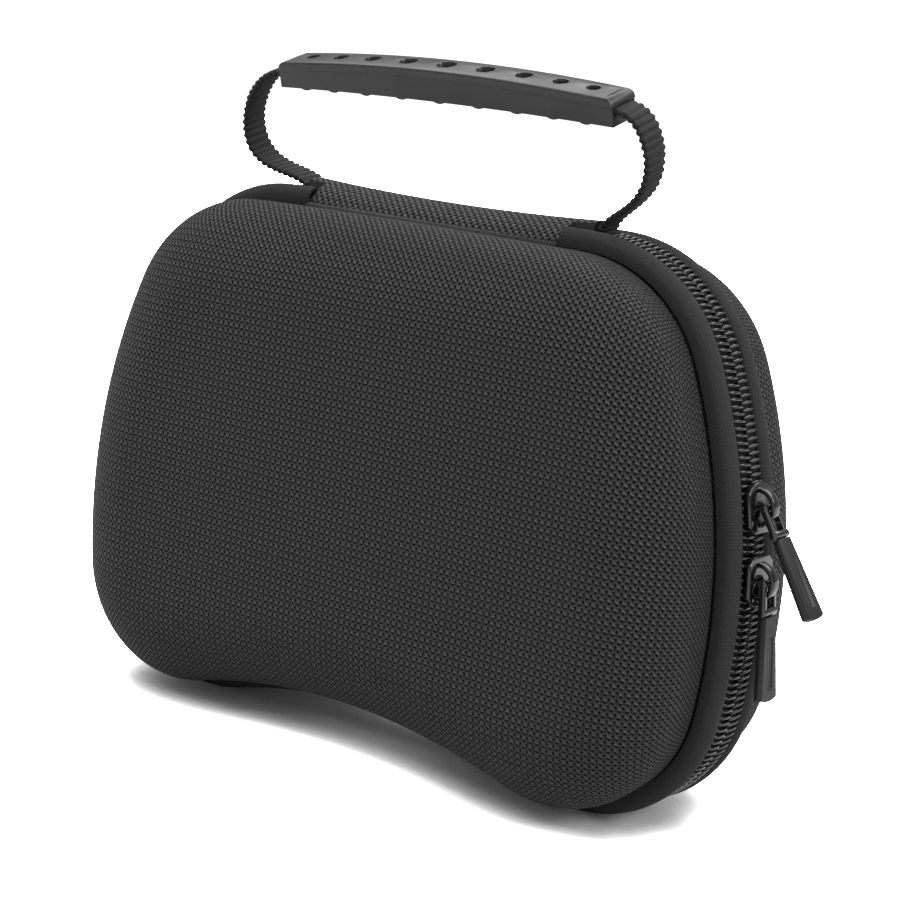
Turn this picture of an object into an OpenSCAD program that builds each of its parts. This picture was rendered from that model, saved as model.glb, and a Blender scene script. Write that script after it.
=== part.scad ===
// Zip-up moulded carrying case for a game controller, with a webbing handle.
// The two shells meet at the plane y = 0, the front one lies on the -Y side.
// The case stands on its two lower lobes. The origin is on the floor, below the middle of all
// that the part spans, with the pulls at its right-hand side.
// Shell, zip and binding sections are given as [y, d]: y from the zip plane, and d inwards
// from the outline of the case, so that one outline function carries every piece along it.

/* [Case outline] */
// Width of the closed case
case_w = 180; // [170:1:190]
// Height of the closed case without its handle
case_h = 129; // [126:0.5:132]
// Height of the widest place of the sides
widest_z = 48; // [45:0.5:51]
// Radius of the long top edge
top_r = 3000; // [1500:100:5000]
// Radius of the upper corners
corner_r = 38; // [34:1:41]
// Radius of the two sides
side_r = 145.5; // [138:0.5:155]
// Radius of the two lower lobes
lobe_r = 33.4; // [31:0.2:36]
// Radius of the hollow between the lobes
notch_r = 167.5; // [150:0.5:185]
// How far the rims are pressed flat where the case stands on them
rest_flat = 0.4; // [0.2:0.1:0.8]

/* [Moulded shells] */
// Depth of each shell, from the zip plane to its face
half_depth = 33.7; // [32:0.1:38]
// Thickness of the moulded wall
wall_t = 3.2; // [2:0.2:4]
// Inset of the crease where the shell wall starts
crease_d = 4.5; // [4.2:0.1:5]
// Flare of the shell wall, outwards for each millimetre of depth
wall_flare = 0.06; // [0:0.01:0.1]
// Inset of the rounded bevel between wall and face
bevel_d = 21; // [16:0.5:22]
// Depth of that bevel
bevel_y = 14.8; // [11:0.2:17]

/* [Zip] */
// Distance of the rim's crown from the zip plane
rim_y = 7.2; // [7.1:0.1:7.5]
// Radius of the rounded rim that the zip tape forms
rim_r = 2.7; // [2.5:0.1:2.8]
// Distance from the middle of the case at which the rims start, beside the spine's tongues
rim_x = 36; // [34:0.5:37]
// Thickness of the zip tape
tape_t = 0.8; // [0.5:0.1:1]
// Outer edge of each coil, from the zip plane
coil_w = 4.3; // [3.8:0.1:4.3]
// Height of each coil
coil_h = 1.35; // [1:0.05:1.4]
// Gap between the two coils, in which the sliders' wedges run
chain_gap = 1; // [0.9:0.1:1.6]
// Depth of the tape's outer face under the coils
bed_d = 1.9; // [1.8:0.1:2]
// Thickness of the seam binding inside the case
binding_t = 0.6; // [0.4:0.1:0.8]

/* [Spine] */
// Half length of the hinge spine with its two narrow tongues
spine_x = 41; // [40:0.1:41]
// How far the crest's middle dips below the ends of the spine
spine_dip = 1.2; // [0.4:0.1:1.4]
// Height of the spine's crest in its middle
crest_z = 129.5; // [129:0.1:130]
// Thickness of the spine
spine_t = 3; // [2.4:0.2:3.2]

/* [Sliders] */
// Angle of the upper slider on the side arc, up from the widest place
upper_angle = 10.8; // [9.8:0.1:12]
// Angle of the lower slider on the side arc
lower_angle = 4.5; // [2:0.1:5]
// Length of a slider along the zip
slider_l = 11; // [9:0.5:13]
// Width of a slider across the zip
slider_w = 10; // [9:0.2:10]
// Thickness of a slider's plates
plate_t = 1.3; // [1:0.1:1.6]
// Outer radius of a slider's crown
crown_r = 4.4; // [4:0.1:5]
// Width of a slider's crown
crown_w = 2.4; // [2:0.2:3]

/* [Pulls] */
// Tilt of the upper pull from hanging straight down
upper_tilt = 33; // [25:1:40]
// Tilt of the lower pull from hanging straight down
lower_tilt = 7; // [0:1:9]
// Radius of a pull's pin
pin_r = 0.7; // [0.5:0.05:0.9]
// Length of the metal stirrup, from its pin to its collar
stirrup_l = 6.2; // [5.8:0.2:8]
// Length of the moulded tab
tab_l = 18.5; // [14:0.5:22]
// Width of the tab at its collar
tab_w = 4.6; // [4:0.2:6]
// Width of the tab at its free end
tab_end_w = 6.8; // [5:0.2:8]
// Thickness of the tab
tab_t = 2; // [1.6:0.2:3]

/* [Handle] */
// Width of the webbing
web_w = 7.6; // [7:0.1:7.6]
// Thickness of the webbing
web_t = 1.6; // [1.2:0.1:1.7]
// How far the webbing legs bulge sideways, on average
web_bulge = 57.6; // [56.5:0.1:59]
// Height of that bulge over the pivot, on average
web_bulge_h = 15.6; // [14.5:0.1:16.5]
// How much further out and lower the left leg bulges than the average
web_skew = 2.4; // [0:0.2:3]
// Forward lean of the handle
handle_lean = 18; // [14:1:20]
// Sideways shift of the grip
grip_shift = 1.2; // [0:0.2:2]
// Length of the rubber grip
grip_l = 93.5; // [90:0.5:96]
// Width of the grip
grip_w = 9.6; // [9.4:0.2:11]
// Height of the grip's rounded bar
bar_h = 2.1; // [2:0.1:2.5]
// Rise of the bar's slightly domed top over its shoulders
bar_dome = 0.3; // [0.2:0.05:0.4]
// Radius of the bar's shoulders
bar_shoulder = 1; // [0.7:0.1:1.1]
// Rise of the bar's middle over its ends
bar_rise = 2.2; // [1:0.1:2.8]
// Height of the side flaps below the bar, at the ends of the grip
flap_h = 4.2; // [3.8:0.1:4.8]
// Rise of the grip's underside over its ends
base_rise = 0.9; // [0.5:0.1:1]
// Height of the grip's underside over the pivot
grip_z = 25.4; // [24.5:0.1:27]
// Number of finger dimples
dimples = 9; // [5:2:9]
// Distance between the dimples in the middle
dimple_pitch = 10.9; // [9:0.1:11]
// Width of the middle dimple
dimple_d = 5; // [4:0.2:5.4]

/* [Inside] */
// Height of the mesh pocket's upper edge
pocket_z = 82; // [60:1:95]
// Thickness of the mesh
mesh_t = 0.6; // [0.4:0.1:0.8]
// Diameter of the elastic hem
hem_d = 2.4; // [2:0.2:3]
// Width of the retaining strap
strap_w = 25; // [20:1:32]
// Height of the retaining strap's middle
strap_z = 66; // [55:1:75]

/* [Hidden] */
// Running clearance between pieces that move
clear = 0.3;
// Clearance between sewn or seated pieces
seat = 0.1;
far = 400;

// Outline of the case, from tangent arcs
side_c = [case_w / 2 - side_r, widest_z];
top_c = [0, case_h - top_r];
lobe_z = lobe_r - rest_flat;
lobe_c = [side_c.x + sqrt(pow(side_r - lobe_r, 2) - pow(lobe_z - side_c.y, 2)), lobe_z];
notch_c = [0, lobe_z - sqrt(pow(notch_r + lobe_r, 2) - pow(lobe_c.x, 2))];
corner_c = meeting(top_c, top_r - corner_r, side_c, side_r - corner_r);
a_top = angle_of(corner_c - top_c);
a_side_high = angle_of(corner_c - side_c);
a_side_low = angle_of(lobe_c - side_c);
a_notch = angle_of(lobe_c - notch_c);

// The circles' meeting point on the right-hand side of the line from a to b
function meeting(a, ra, b, rb) =
    let (v = b - a, s = norm(v), u = v / s, t = (s * s + ra * ra - rb * rb) / (2 * s))
    a + t * u + sqrt(ra * ra - t * t) * right_of(u);
function right_of(u) = u.y < 0 ? [-u.y, u.x] : [u.y, -u.x];
function angle_of(v) = atan2(v.y, v.x);
function polar(c, r, a) = c + r * [cos(a), sin(a)];
function arc(c, r, a, b, n) = [for (i = [0:n - 1]) polar(c, r, a + (b - a) * i / n)];

// Right half of the outline inset by d, from the corner arc's angle a down to the middle
function lower_half(d, a) = concat(
    arc(corner_c, corner_r - d, a, a_side_high, 7),
    arc(side_c, side_r - d, a_side_high, a_side_low, 6),
    arc(lobe_c, lobe_r - d, a_side_low, a_notch - 180, 10),
    arc(notch_c, notch_r + d, a_notch, 90, 4));
function bottom_middle(d) = [notch_c + [0, notch_r + d]];
function mirrored(p) = [for (i = [len(p) - 1:-1:0]) [-p[i].x, p[i].y]];
function part_of(p, first) = [for (i = [first:len(p) - 1]) p[i]];

// The stretch with a zip: its rims end in two upright cuts beside the spine's tongues, and
// its chain ends where the webbing comes up
web_x = spine_x + clear + web_t / 2;
chain_off = 2;
chain_x = web_x + web_t / 2 + chain_off;
zip_in_d = crease_d + wall_t + seat + binding_t;
on_top = (rim_x + 1) * top_r < top_r * cos(a_top) * (top_r - zip_in_d);
a_zip = on_top ? acos((rim_x + 0.4) / (top_r - zip_in_d))
    : acos((rim_x + 0.4 - corner_c.x) / (corner_r - zip_in_d));
function zip_start(d) = on_top ? polar(top_c, top_r - d, a_zip)
    : polar(corner_c, corner_r - d, a_zip);
function zip_cut(p) = p + (p.x - rim_x) / sin(a_zip) * [-sin(a_zip), cos(a_zip)];
function zip_line(d) =
    let (
        p = zip_start(d),
        h = concat([zip_cut(p)], on_top ? [p] : [], lower_half(d, on_top ? a_top : a_zip)))
    concat(h, bottom_middle(d), mirrored(h));

// Lines of the coil and of the tape: the chain starts at chain_x, between two points of the
// zip line, and there the tape's inner edge steps back to the rim
function chain_index(p, i) = p[i + 1].x > chain_x + 0.2 ? i : chain_index(p, i + 1);
chain_i = chain_index(zip_line(bed_d), 1);
chain_share = let (a = zip_line(bed_d)[chain_i].x, b = zip_line(bed_d)[chain_i + 1].x)
    max(0.02, (chain_x - a) / (b - a));
function chain_cut(p, more) = p[chain_i] + (chain_share + more) * (p[chain_i + 1] - p[chain_i]);
function both_halves(h, p) = concat(h, [p[(len(p) - 1) / 2]], mirrored(h));
function coil_line(d) =
    let (p = zip_line(d), m = (len(p) - 1) / 2)
    both_halves(concat([chain_cut(p, 0.01)], [for (i = [chain_i + 1:m - 1]) p[i]]), p);
function tape_line(d) =
    let (p = zip_line(d), m = (len(p) - 1) / 2)
    both_halves(concat([for (i = [0:chain_i]) p[i]], [chain_cut(p, 0), chain_cut(p, 0.01)],
        [for (i = [chain_i + 1:m - 1]) p[i]]), p);

// The whole outline inset by d, with a point of its own where the zip starts
zip_first = on_top ? 3 : 4;
function ring(d) =
    let (h = on_top
        ? concat(arc(top_c, top_r - d, 90, a_zip, 3), [zip_start(d)], lower_half(d, a_top))
        : concat(arc(top_c, top_r - d, 90, a_top, 3), [polar(corner_c, corner_r - d, a_top)],
            lower_half(d, a_zip)))
    concat(h, bottom_middle(d), mirrored(part_of(h, 1)));

// Surface of a shell, lowered by off: from its crease over the wall and the bevel to the face
crease_y = rim_y + rim_r;
bevel_start_y = half_depth - bevel_y;
bevel_start_d = crease_d - wall_flare * (bevel_start_y - crease_y);
bevel_steps = 7;
function shell_surface(off) = concat(
    [[crease_y, crease_d + off]],
    [for (i = [0:bevel_steps])
        let (a = 90 * i / bevel_steps)
        [bevel_start_y + (bevel_y - off) * sin(a),
         bevel_start_d + bevel_d - (bevel_d - off) * cos(a)]]);
function reversed(p) = [for (i = [len(p) - 1:-1:0]) p[i]];

// Rounded rim, as arcs about one centre: angle 0 is its crown and 90 its crease side
function rim_arc(r, a, b, n) =
    [for (i = [0:n]) let (t = a + (b - a) * i / n) [rim_y + r * sin(t), rim_r - r * cos(t)]];
bed_angle = -acos((rim_r - bed_d) / rim_r);
bed_in_angle = -acos((rim_r - bed_d - tape_t) / (rim_r - tape_t));
core_r = rim_r - tape_t - seat;
lip_step = 0.4;

// Zip tape: under the coil, over the rim and down to the crease
tape_profile = concat(
    [[chain_gap / 2, bed_d]],
    rim_arc(rim_r, bed_angle, 90, 7),
    [[crease_y, crease_d - seat], [crease_y - tape_t, crease_d - seat]],
    rim_arc(rim_r - tape_t, 90, bed_in_angle, 4),
    [[chain_gap / 2, bed_d + tape_t]]);
// Lip of the shell, which fills the rim and carries the tape: from its foot's outer edge
// round the rim to the foot's inner edge
lip_profile = concat(
    [[crease_y, crease_d + lip_step], [rim_y + core_r, crease_d + lip_step]],
    rim_arc(core_r, 90, -90, 4),
    [[rim_y - core_r, crease_d + seat], [rim_y + 1, crease_d + wall_t - lip_step],
     [crease_y, crease_d + wall_t - lip_step]]);
// Zip coil, with its rounded back
coil_round = 0.45;
coil_bed = bed_d - seat / 2;
coil_top = coil_bed - coil_h;
coil_profile = [
    [chain_gap / 2, coil_bed], [chain_gap / 2, coil_top + coil_round],
    [chain_gap / 2 + coil_round, coil_top], [coil_w - coil_round, coil_top],
    [coil_w, coil_top + coil_round], [coil_w, coil_bed]];
// Binding that covers the raw edges of lip and tape inside the case
lip_in_y = rim_y - core_r;
lip_in_d = crease_d + wall_t;
binding_profile = [
    [lip_in_y - seat, bed_d + tape_t + clear], [lip_in_y - seat, crease_d + 2 * seat],
    [rim_y + 1 - seat, lip_in_d], [crease_y - seat, lip_in_d + seat],
    [crease_y - seat, zip_in_d],
    [rim_y + 1 - binding_t, zip_in_d],
    [lip_in_y - seat - binding_t, crease_d + 4 * seat],
    [lip_in_y - seat - binding_t, bed_d + tape_t + clear]];
binding_in_d = zip_in_d;

// Places of the sliders and pulls
coil_clear = 0.4;
wedge_clear = 0.2;
plate_x = -coil_top + coil_clear;
inner_x = -(bed_d + tape_t + coil_clear);
crown_t = 1.1;
arm_t = 1.3;
crown_x = plate_x + plate_t / 2;
pin_x = crown_x + crown_r - crown_t - pin_r - clear;

// Places of the handle, in its own upright frame about its pivot
pivot_z = crest_z - 0.9;
root_h = -2;
root_twist = handle_lean / 2;
half_grip = grip_l / 2;
bar_bend = pow(half_grip, 2) / (2 * bar_rise);
base_bend = pow(half_grip, 2) / (2 * base_rise);
bar_c = grip_z + flap_h + bar_rise - bar_bend;
base_c = grip_z + base_rise - base_bend;
slot_drop = web_t / 2 + 2 * seat;
web_line_r = bar_bend - slot_drop;
grip_angle = asin(half_grip / bar_bend);
web_grip_angle = asin((half_grip + 0.6) / bar_bend);
rib_depth = 0.2;

// The origin is below the middle of what the part spans, from its left side to the upper tab
tab_reach = stirrup_l + (tab_t + seat) / 2 + tab_l;
tip_x = side_c.x + (side_r + pin_x) * cos(upper_angle) + tab_reach * sin(upper_tilt)
    + tab_t / 2 * cos(upper_tilt);
mid_x = (tip_x - case_w / 2) / 2;

// Moves a piece made for the back half to the front half
module to_front() {
    mirror([0, 1, 0]) children();
}

// Keeps what lies above the floor
module above_floor() {
    difference() {
        children();
        translate([-far / 2, -far / 2, -far]) cube(far);
    }
}

// Body between rings of equal length: a tube open at neither end, or a solid with two caps
module loft(rings, around) {
    n = len(rings);
    m = len(rings[0]);
    last = around ? m - 1 : m - 2;
    polyhedron(
        points = [for (r = rings) for (p = r) p],
        faces = concat(
            [for (i = [0:n - 2]) for (j = [0:last])
                let (k = (j + 1) % m)
                [i * m + j, i * m + k, (i + 1) * m + k, (i + 1) * m + j]],
            [[for (j = [m - 1:-1:0]) j]],
            [[for (j = [0:m - 1]) (n - 1) * m + j]]),
        convexity = 10);
}

// Carries a closed [y, d] profile along lines, one for each of its points. The first and last
// rings can be kept out of the room between the rims, where the webbing comes up.
module along(lines, profile, kept_out = 0) {
    n = len(lines[0]);
    loft([for (i = [0:n - 1])
        let (y_min = i < kept_out || i >= n - kept_out ? inner_rim : 0)
        [for (j = [0:len(profile) - 1])
            [lines[j][i].x, max(y_min, profile[j][0]), lines[j][i].y]]], true);
}
inner_rim = rim_y - rim_r + 0.05;

// One moulded shell: outer surface, lip for the zip and inner surface, each point of that
// section carried round the outline. Beside the spine the surfaces skip the lip.
module shell() {
    outer = reversed(shell_surface(0));
    section = concat(outer, lip_profile, shell_surface(wall_t));
    foot = len(outer);
    heel = foot + len(lip_profile) - 1;
    rings = [for (p = section) [for (q = ring(p[1])) [q.x, p[0], q.y]]];
    m = len(rings[0]);
    last = len(section) - 1;
    color([0.17, 0.17, 0.18]) polyhedron(
        points = [for (r = rings) for (p = r) p],
        faces = concat(
            [for (i = [0:last - 1]) for (j = [0:m - 1])
                if (i < foot || i >= heel || (j >= zip_first && j < m - zip_first))
                quad(i, i + 1, j, (j + 1) % m, m)],
            [for (j = [0:m - 1]) if (j < zip_first || j >= m - zip_first)
                quad(foot, heel, j, (j + 1) % m, m)],
            [[for (i = [foot:heel]) i * m + zip_first]],
            [[for (i = [heel:-1:foot]) i * m + m - zip_first]],
            [[for (j = [m - 1:-1:0]) j]],
            [[for (j = [0:m - 1]) last * m + j]]),
        convexity = 10);
}
function quad(i, k, j, n, m) = [i * m + j, i * m + n, k * m + n, k * m + j];

module back_shell() {
    placed() shell();
}

module front_shell() {
    placed() to_front() shell();
}

// Spine between the two folds: a hollow arch whose crest dips in the middle. Beyond the start
// of the rims only a narrow tongue goes on, as wide as the webbing that it leads to.
spine_half = crease_y - clear;
spine_sag = crest_z - (case_h - crease_d);
hump_r = (pow(spine_half, 2) + pow(spine_sag, 2)) / (2 * spine_sag);
dip_r = pow(spine_x, 2) / (2 * spine_dip);
module hinge_spine() {
    sweep = asin(spine_x / dip_r);
    color([0.19, 0.19, 0.2]) placed() difference() {
        translate([0, 0, crest_z + dip_r]) rotate([90, 0, 0])
        rotate_extrude(angle = 2 * sweep, start = 270 - sweep, $fn = 360)
        intersection() {
            difference() {
                translate([dip_r + hump_r, 0]) circle(r = hump_r, $fn = 96);
                translate([dip_r + hump_r, 0]) circle(r = hump_r - spine_t, $fn = 96);
            }
            translate([dip_r - 1, -spine_half]) square([hump_r + 1, 2 * spine_half]);
        }
        for (s = [-1, 1], t = [-1, 1])
        translate([s * (rim_x - clear + spine_x) - spine_x, t * (web_w + spine_x) / 2 - spine_x / 2,
            crest_z - 2 * spine_x])
            cube([2 * spine_x, spine_x, 4 * spine_x]);
    }
}

// Moves a piece from the middle plane of the case to the origin
module placed() {
    translate([-mid_x, 0, 0]) children();
}

module zip_tape() {
    color([0.12, 0.12, 0.13]) above_floor()
    along([for (p = tape_profile) tape_line(p[1])], tape_profile, chain_i + 2);
}

module back_zip_tape() {
    placed() zip_tape();
}

module front_zip_tape() {
    placed() to_front() zip_tape();
}

module zip_coil() {
    color([0.08, 0.08, 0.09]) along([for (p = coil_profile) coil_line(p[1])], coil_profile);
}

module back_zip_coil() {
    placed() zip_coil();
}

module front_zip_coil() {
    placed() to_front() zip_coil();
}

module seam_binding() {
    color([0.15, 0.15, 0.16])
    along([for (p = binding_profile) zip_line(p[1])], binding_profile);
}

module back_seam_binding() {
    placed() seam_binding();
}

module front_seam_binding() {
    placed() to_front() seam_binding();
}

// Moves a piece to the angle a on the side arc: +X points outwards there and +Z along the zip
module on_side(a) {
    translate([side_c.x, 0, side_c.y]) rotate([0, -a, 0]) translate([side_r, 0, 0]) children();
}

// Plan of a slider's plate, rounded at its nose and narrower at its tail
module slider_plan(w) {
    intersection() {
        square([slider_l, w], center = true);
        translate([slider_l * 0.1, 0]) circle(r = slider_l * 0.6, $fn = 64);
        rotate(45) square([slider_l * 1.16, slider_l * 1.16], center = true);
    }
}

// Slider: outer and inner plate, the wedge between them and the crown for the pull.
// Its nose points along +Z where nose is 1 and along -Z where nose is -1.
module slider(nose) {
    wedge_t = chain_gap - 2 * wedge_clear;
    color([0.05, 0.05, 0.055]) {
        translate([plate_x + plate_t / 2, 0, 0]) rotate([0, -90 * nose, 0])
            linear_extrude(plate_t, center = true) slider_plan(slider_w);
        translate([inner_x - plate_t, -coil_w, -slider_l / 2])
            cube([plate_t, 2 * coil_w, slider_l]);
        translate([inner_x - plate_t / 2, -wedge_t / 2, nose > 0 ? 0 : -slider_l * 0.3])
            cube([plate_x - inner_x + plate_t, wedge_t, slider_l * 0.3]);
        translate([crown_x, crown_w / 2, 0]) rotate([90, 0, 0])
        linear_extrude(crown_w) intersection() {
            difference() {
                circle(r = crown_r, $fn = 72);
                circle(r = crown_r - crown_t, $fn = 72);
            }
            translate([0, -crown_r]) square([crown_r, 2 * crown_r]);
        }
    }
}

module upper_slider() {
    placed() on_side(upper_angle) slider(-1);
}

module lower_slider() {
    placed() on_side(lower_angle) slider(1);
}

// Moves a pull from its pin to its slider, turned to hang at the given tilt
module at_pin(a, tilt) {
    placed() on_side(a) translate([pin_x, 0, 0]) rotate([0, a - tilt, 0]) children();
}

// Stirrup: the pin through the crown, two flat arms with round eyes, and the collar
arm_in = crown_w / 2 + clear;
module stirrup() {
    color([0.06, 0.06, 0.065]) {
        translate([0, arm_in + arm_t / 2, 0]) rotate([90, 0, 0])
            cylinder(r = pin_r, h = 2 * arm_in + arm_t, $fn = 32);
        for (s = [-1, 1]) translate([0, s * (arm_in + arm_t / 2), 0]) rotate([90, 0, 0])
        linear_extrude(arm_t, center = true) {
            circle(r = pin_r + 0.3, $fn = 32);
            translate([-pin_r, -stirrup_l]) square([2 * pin_r, stirrup_l]);
        }
        translate([0, arm_in + arm_t, -stirrup_l]) rotate([90, 0, 0])
            cylinder(r = tab_t / 2, h = 2 * (arm_in + arm_t), $fn = 32);
    }
}

// Moulded tab: it flares to its end, with a rounded end and a shallow panel on both faces
module tab() {
    top_z = -stirrup_l - tab_t / 2 - seat / 2;
    color([0.2, 0.2, 0.21]) difference() {
        translate([-tab_t / 2, 0, top_z]) rotate([0, 90, 0]) linear_extrude(tab_t)
        intersection() {
            polygon([[0, -tab_w / 2], [tab_l, -tab_end_w / 2], [tab_l, tab_end_w / 2],
                [0, tab_w / 2]]);
            translate([tab_l - tab_end_w * 1.5, 0]) union() {
                circle(r = tab_end_w * 1.5, $fn = 96);
                translate([-tab_l, -tab_end_w]) square([tab_l, 2 * tab_end_w]);
            }
        }
        for (s = [-1, 1])
        translate([s * tab_t / 2, 0, top_z - tab_l * 0.55]) rotate([0, 90, 0])
        translate([0, 0, -tab_t / 10]) linear_extrude(tab_t / 5)
            square([tab_l * 0.6, tab_w * 0.5], center = true);
    }
}

module upper_pull_stirrup() {
    at_pin(upper_angle, upper_tilt) stirrup();
}

module lower_pull_stirrup() {
    at_pin(lower_angle, lower_tilt) stirrup();
}

module upper_pull_tab() {
    at_pin(upper_angle, upper_tilt) tab();
}

module lower_pull_tab() {
    at_pin(lower_angle, lower_tilt) tab();
}

// Moves the handle from its own upright frame to its lean over the case
module leaned() {
    placed() translate([0, 0, pivot_z]) rotate([handle_lean, 0, 0]) children();
}

// Centre line of a webbing leg as [x, z, dx, dz], with x outwards: root, bulge and grip end
function bulge(s) = [web_bulge - s * web_skew, web_bulge_h + 1.2 * s * web_skew];
function leg_end(s) =
    let (p = polar([s * grip_shift, bar_c], web_line_r, 90 - web_grip_angle))
    [p.x, p.y];
function lower_leg(s) = [[web_x, root_h + 1], [web_x, 5], bulge(s) - [0, 12.4], bulge(s)];
function upper_leg(s) =
    let (b = bulge(s), e = leg_end(s))
    [b, [b.x, b.y + 0.45 * (e.y - b.y)], [e.x + 0.45 * (b.x - e.x) + 1.5, e.y - 0.3], e];
function cubic(p, t) = pow(1 - t, 3) * p[0] + 3 * t * pow(1 - t, 2) * p[1]
    + 3 * t * t * (1 - t) * p[2] + pow(t, 3) * p[3];
function cubic_way(p, t) =
    let (v = pow(1 - t, 2) * (p[1] - p[0]) + 2 * t * (1 - t) * (p[2] - p[1])
        + t * t * (p[3] - p[2]))
    v / norm(v);
leg_steps = 20;
function leg_points(p) =
    [for (i = [0:leg_steps - 1]) let (t = i / leg_steps) concat(cubic(p, t), cubic_way(p, t))];
function leg(s) = concat([[web_x, root_h, 0, 1]], leg_points(lower_leg(s)),
    leg_points(upper_leg(s)));
inside_grip = [for (i = [0:12])
    let (a = 90 - web_grip_angle + 2 * web_grip_angle * i / 12)
    concat(polar([grip_shift, bar_c], web_line_r, a), [-sin(a), cos(a)])];
right_leg = leg(1);
left_leg = leg(-1);
web_line = concat(right_leg, inside_grip,
    [for (i = [len(left_leg) - 1:-1:0])
        let (p = left_leg[i])
        [-p[0], p[1], p[2], -p[3]]]);

// Width direction of the webbing at the height h: the root is twisted back by half the lean
function twist(h) =
    let (u = min(1, max(0, h / 10)))
    root_twist * (1 - u * u * (3 - 2 * u));

// Ring of the webbing around c, with the length direction [dx, dz] and the width turned by a
function web_ring(c, way, a, low) =
    let (
        w = (web_w / 2 - low) * [0, cos(a), -sin(a)],
        t = web_t / 2 * [way[1] * cos(a), -way[0] * sin(a), -way[0] * cos(a)])
    [c + t - w, c - t - w, c - t + w, c + t + w];

// Rings that round off the root on side s, at the angle u below its full width
function root_ring(s, u) =
    let (down = (web_w / 2 - rib_depth) * sin(u))
    web_ring([s * web_x, -down * sin(root_twist), root_h - down * cos(root_twist)],
        [0, s], root_twist, web_w / 2 - (web_w / 2 - rib_depth) * cos(u));

// Webbing with a narrower ring at every second step of its legs, as its woven edge is scalloped
module handle_webbing() {
    last_rib = len(right_leg);
    n = len(web_line);
    color([0.07, 0.07, 0.075]) leaned()
    loft(concat(
        [for (u = [80:-16:16]) root_ring(1, u)],
        [for (i = [0:n - 1])
            let (p = web_line[i])
            web_ring([p[0], 0, p[1]], [p[2], p[3]], twist(p[1]),
                (i < last_rib || i >= n - last_rib) && i % 2 == 0 ? rib_depth : 0)],
        [for (u = [16:16:80]) root_ring(-1, u)]), true);
}

// Carries a flat section along an arc over the case, with its apex at the given height
module along_arc(bend, c, a) {
    translate([grip_shift, 0, c]) rotate([90, 0, 0])
    rotate_extrude(angle = 2 * a, start = 90 - a, $fn = 360)
    translate([bend, 0]) children();
}

// Section of the grip: a domed bar with round shoulders, over two side flaps set back a little
module grip_section() {
    half = grip_w / 2;
    dome_r = (half * half + bar_dome * bar_dome) / (2 * bar_dome);
    low = -flap_h - bar_rise - 1;
    intersection() {
        translate([bar_h - dome_r, 0]) circle(r = dome_r, $fn = 360);
        union() {
            translate([0, -half]) square([bar_h - bar_shoulder, grip_w]);
            translate([0, bar_shoulder - half]) square([bar_h, grip_w - 2 * bar_shoulder]);
            for (s = [-1, 1]) translate([bar_h - bar_shoulder, s * (half - bar_shoulder)])
                circle(r = bar_shoulder, $fn = 48);
        }
    }
    polygon([[0.01, -half + 0.25], [low, -half + 0.5], [low, half - 0.5], [0.01, half - 0.25]]);
}

// Rubber grip: a bowed bar with round dimples on top and finger waves below
module handle_grip() {
    end_round = 2;
    color([0.22, 0.22, 0.23]) leaned()
    difference() {
        union() {
            intersection() {
                along_arc(bar_bend, bar_c, grip_angle + 1) grip_section();
                along_arc(base_bend, base_c, grip_angle + 1)
                    translate([0, -grip_w]) square([4 * grip_z, 2 * grip_w]);
                rotate([90, 0, 0]) translate([0, 0, -grip_w]) linear_extrude(2 * grip_w)
                    grip_side(end_round);
            }
            for (i = [-(dimples - 1) / 2:(dimples - 1) / 2])
            translate([grip_shift + dimple_x(i), grip_w / 2 - 0.8, base_z(dimple_x(i)) + wave_up])
            rotate([90, 0, 0]) linear_extrude(grip_w - 1.6) intersection() {
                circle(r = wave_r, $fn = 48);
                translate([-wave_r, -wave_r]) square([2 * wave_r, wave_r]);
            }
        }
        along_arc(bar_bend, bar_c, web_grip_angle) translate([-slot_drop, 0])
            square([web_t + 3 * seat, web_w + 3 * seat], center = true);
        for (i = [-(dimples - 1) / 2:(dimples - 1) / 2])
        translate([grip_shift + dimple_x(i), 0, bar_z(dimple_x(i)) + bar_h - dimple_depth])
            cylinder(d1 = 0.8 * dimple_w(i), d2 = 1.3 * dimple_w(i), h = 3 * dimple_depth, $fn = 40);
    }
}

// Place and width of a dimple, counted from the middle: they come closer and get smaller
dimple_depth = 1.3;
function dimple_x(i) = dimple_pitch * i - 0.065 * pow(i, 3);
function dimple_w(i) = dimple_d - 0.4 * abs(i);

// Heights of the bar's lower edge and of the grip's underside at x, and the waves below
function bar_z(x) = bar_c + sqrt(pow(bar_bend, 2) - x * x);
function base_z(x) = base_c + sqrt(pow(base_bend, 2) - x * x);
wave_r = 3.4;
wave_up = 2.9;

// Side view of the grip's rounded ends
module grip_side(r) {
    z = grip_z - 2;
    h = flap_h + bar_h + 2;
    for (s = [-1, 1]) {
        translate([grip_shift + s * (half_grip - r), z + h - r]) circle(r = r, $fn = 48);
        translate([grip_shift + s * (half_grip - r / 2) - r / 2, z]) square([r, h - r]);
    }
    translate([grip_shift - half_grip + r, z]) square([grip_l - 2 * r, 2 * h]);
}

// Inner outline of the seam binding, as a flat shape
module inner_plan() {
    polygon(ring(binding_in_d + seat));
}

// Mesh pocket across the lower part of the front half
pocket_y = crease_y - mesh_t;
module mesh_pocket() {
    color([0.1, 0.1, 0.11]) placed() translate([0, -pocket_y + mesh_t, 0]) rotate([90, 0, 0])
    linear_extrude(mesh_t) intersection() {
        inner_plan();
        translate([-case_w, 0]) square([2 * case_w, pocket_z]);
    }
}

// Elastic hem along the pocket's upper edge
module pocket_hem() {
    span = inner_half_width(pocket_z + hem_d + seat);
    color([0.14, 0.14, 0.15])
    placed() translate([-span, -pocket_y + mesh_t / 2, pocket_z + hem_d / 2 + seat]) rotate([0, 90, 0])
        cylinder(d = hem_d, h = 2 * span, $fn = 32);
}

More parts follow.
